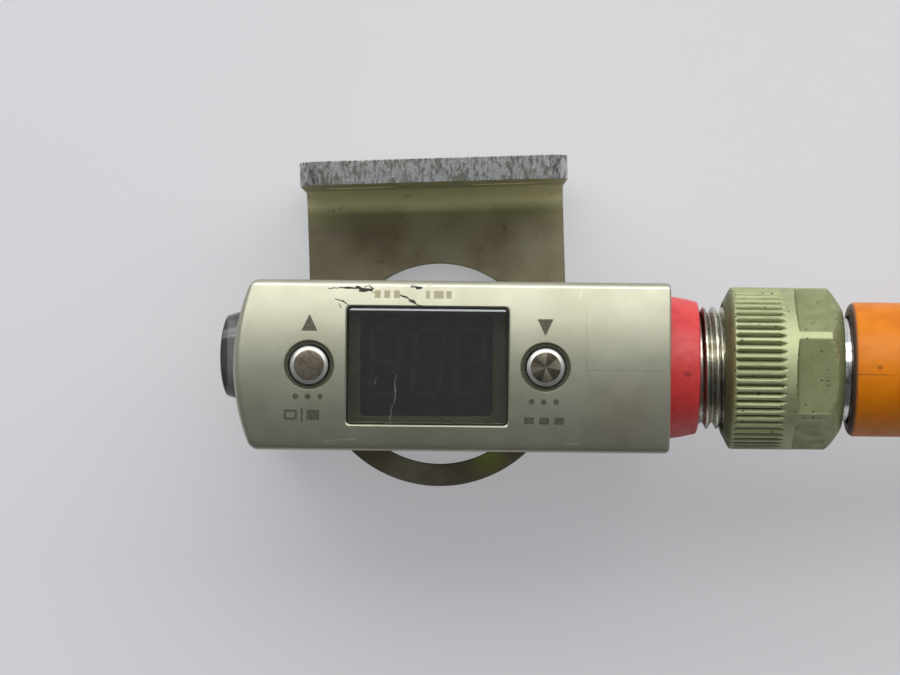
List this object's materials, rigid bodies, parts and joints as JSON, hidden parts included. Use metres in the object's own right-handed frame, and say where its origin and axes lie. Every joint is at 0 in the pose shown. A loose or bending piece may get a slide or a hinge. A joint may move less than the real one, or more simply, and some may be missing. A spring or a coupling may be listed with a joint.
{
  "type": "laser photoelectric sensor",
  "caption": "Slim metal laser distance sensor with a display window, setting buttons and a status lens, on a bent mounting plate, with its threaded cordset plug screwed on.",
  "frame": {"origin": "bottom centre of the part's bounding box, on the underside of the bracket's base", "axes": "+X along the sensor towards the plug, +Y towards the bracket's leg, +Z out of the display face; the beam leaves towards -Z"},
  "size_m": [0.0874, 0.033, 0.0347],
  "materials": {
    "housing_metal": "satin die-cast with a faint green-gold tint and small nicks",
    "bracket_steel": "stained sheet, bright on its cut edges",
    "screw_steel": "plain",
    "window_smoked": "polished, almost black",
    "indicator_smoked": "smoked and clear",
    "beam_glass": "polished and coated",
    "lens_clear": "polished",
    "seal_rubber": "matte",
    "board_green": "solder mask",
    "chip_epoxy": "moulded",
    "black_moulding": "moulded",
    "laser_can": "drawn can",
    "sleeve_nickel": "nickel plated and turned",
    "contact_gold": "gold plated",
    "ring_red": "satin",
    "nut_green": "green-tinted plating, matte with pits",
    "barrel_bright": "bright turned",
    "grip_orange": "moulded, slightly glossy",
    "button_metal": "turned, with a worn top"
  },
  "bodies": {
    "sensor": {"housing": "housing_metal", "beam_cover": "housing_metal", "cover_gasket": "seal_rubber", "beam_window": "beam_glass", "cover_screw_1": "screw_steel", "cover_screw_2": "screw_steel", "cover_screw_3": "screw_steel", "cover_screw_4": "screw_steel", "bracket": "bracket_steel", "bracket_screw_left": "screw_steel", "bracket_screw_right": "screw_steel", "display_window": "window_smoked", "window_gasket": "seal_rubber", "display_module": "chip_epoxy", "display_board": "board_green", "up_switch": "chip_epoxy", "down_switch": "chip_epoxy", "up_button_seal": "seal_rubber", "down_button_seal": "seal_rubber", "indicator_lens": "indicator_smoked", "indicator_gasket": "seal_rubber", "indicator_board": "board_green", "indicator_led": "indicator_smoked", "main_board": "board_green", "processor_chip": "chip_epoxy", "board_link": "black_moulding", "optics_block": "black_moulding", "laser_diode": "laser_can", "collimating_lens": "lens_clear", "receiver_lens": "lens_clear", "receiver_board": "board_green", "image_sensor": "chip_epoxy", "connector_sleeve": "sleeve_nickel", "sleeve_seal": "seal_rubber", "colour_ring": "ring_red", "connector_insert": "black_moulding", "connector_board": "board_green", "contact_pin_1": "contact_gold", "contact_pin_2": "contact_gold", "contact_pin_3": "contact_gold", "contact_pin_4": "contact_gold"},
    "up_key": {"up_button": "button_metal"},
    "down_key": {"down_button": "button_metal"},
    "plug": {"plug_carrier": "black_moulding", "plug_barrel": "barrel_bright", "plug_seal": "seal_rubber", "plug_grip": "grip_orange", "socket_contact_1": "contact_gold", "socket_contact_2": "contact_gold", "socket_contact_3": "contact_gold", "socket_contact_4": "contact_gold"},
    "nut": {"coupling_nut": "nut_green"}
  },
  "joints": [
    {"name": "up_press", "type": "slide", "parent": "sensor", "child": "up_key", "axis": [0, 0, -1], "range_m": [0, 0.0004], "stiffness_N_per_m": 2000},
    {"name": "down_press", "type": "slide", "parent": "sensor", "child": "down_key", "axis": [0, 0, -1], "range_m": [0, 0.0004], "stiffness_N_per_m": 2000},
    {"name": "plug_draw", "type": "slide", "parent": "sensor", "child": "plug", "axis": [1, 0, 0], "range_m": [0, 0.007]},
    {"name": "nut_turn", "type": "hinge", "parent": "plug", "child": "nut", "pos_m": [0.0106, -0.00403, 0.0184], "axis": [1, 0, 0], "range_deg": [0, 2520]}
  ],
  "couplings": [
    {"joint": "plug_draw", "follows": "nut_turn", "m_per_rad": 0.00015915}
  ]
}
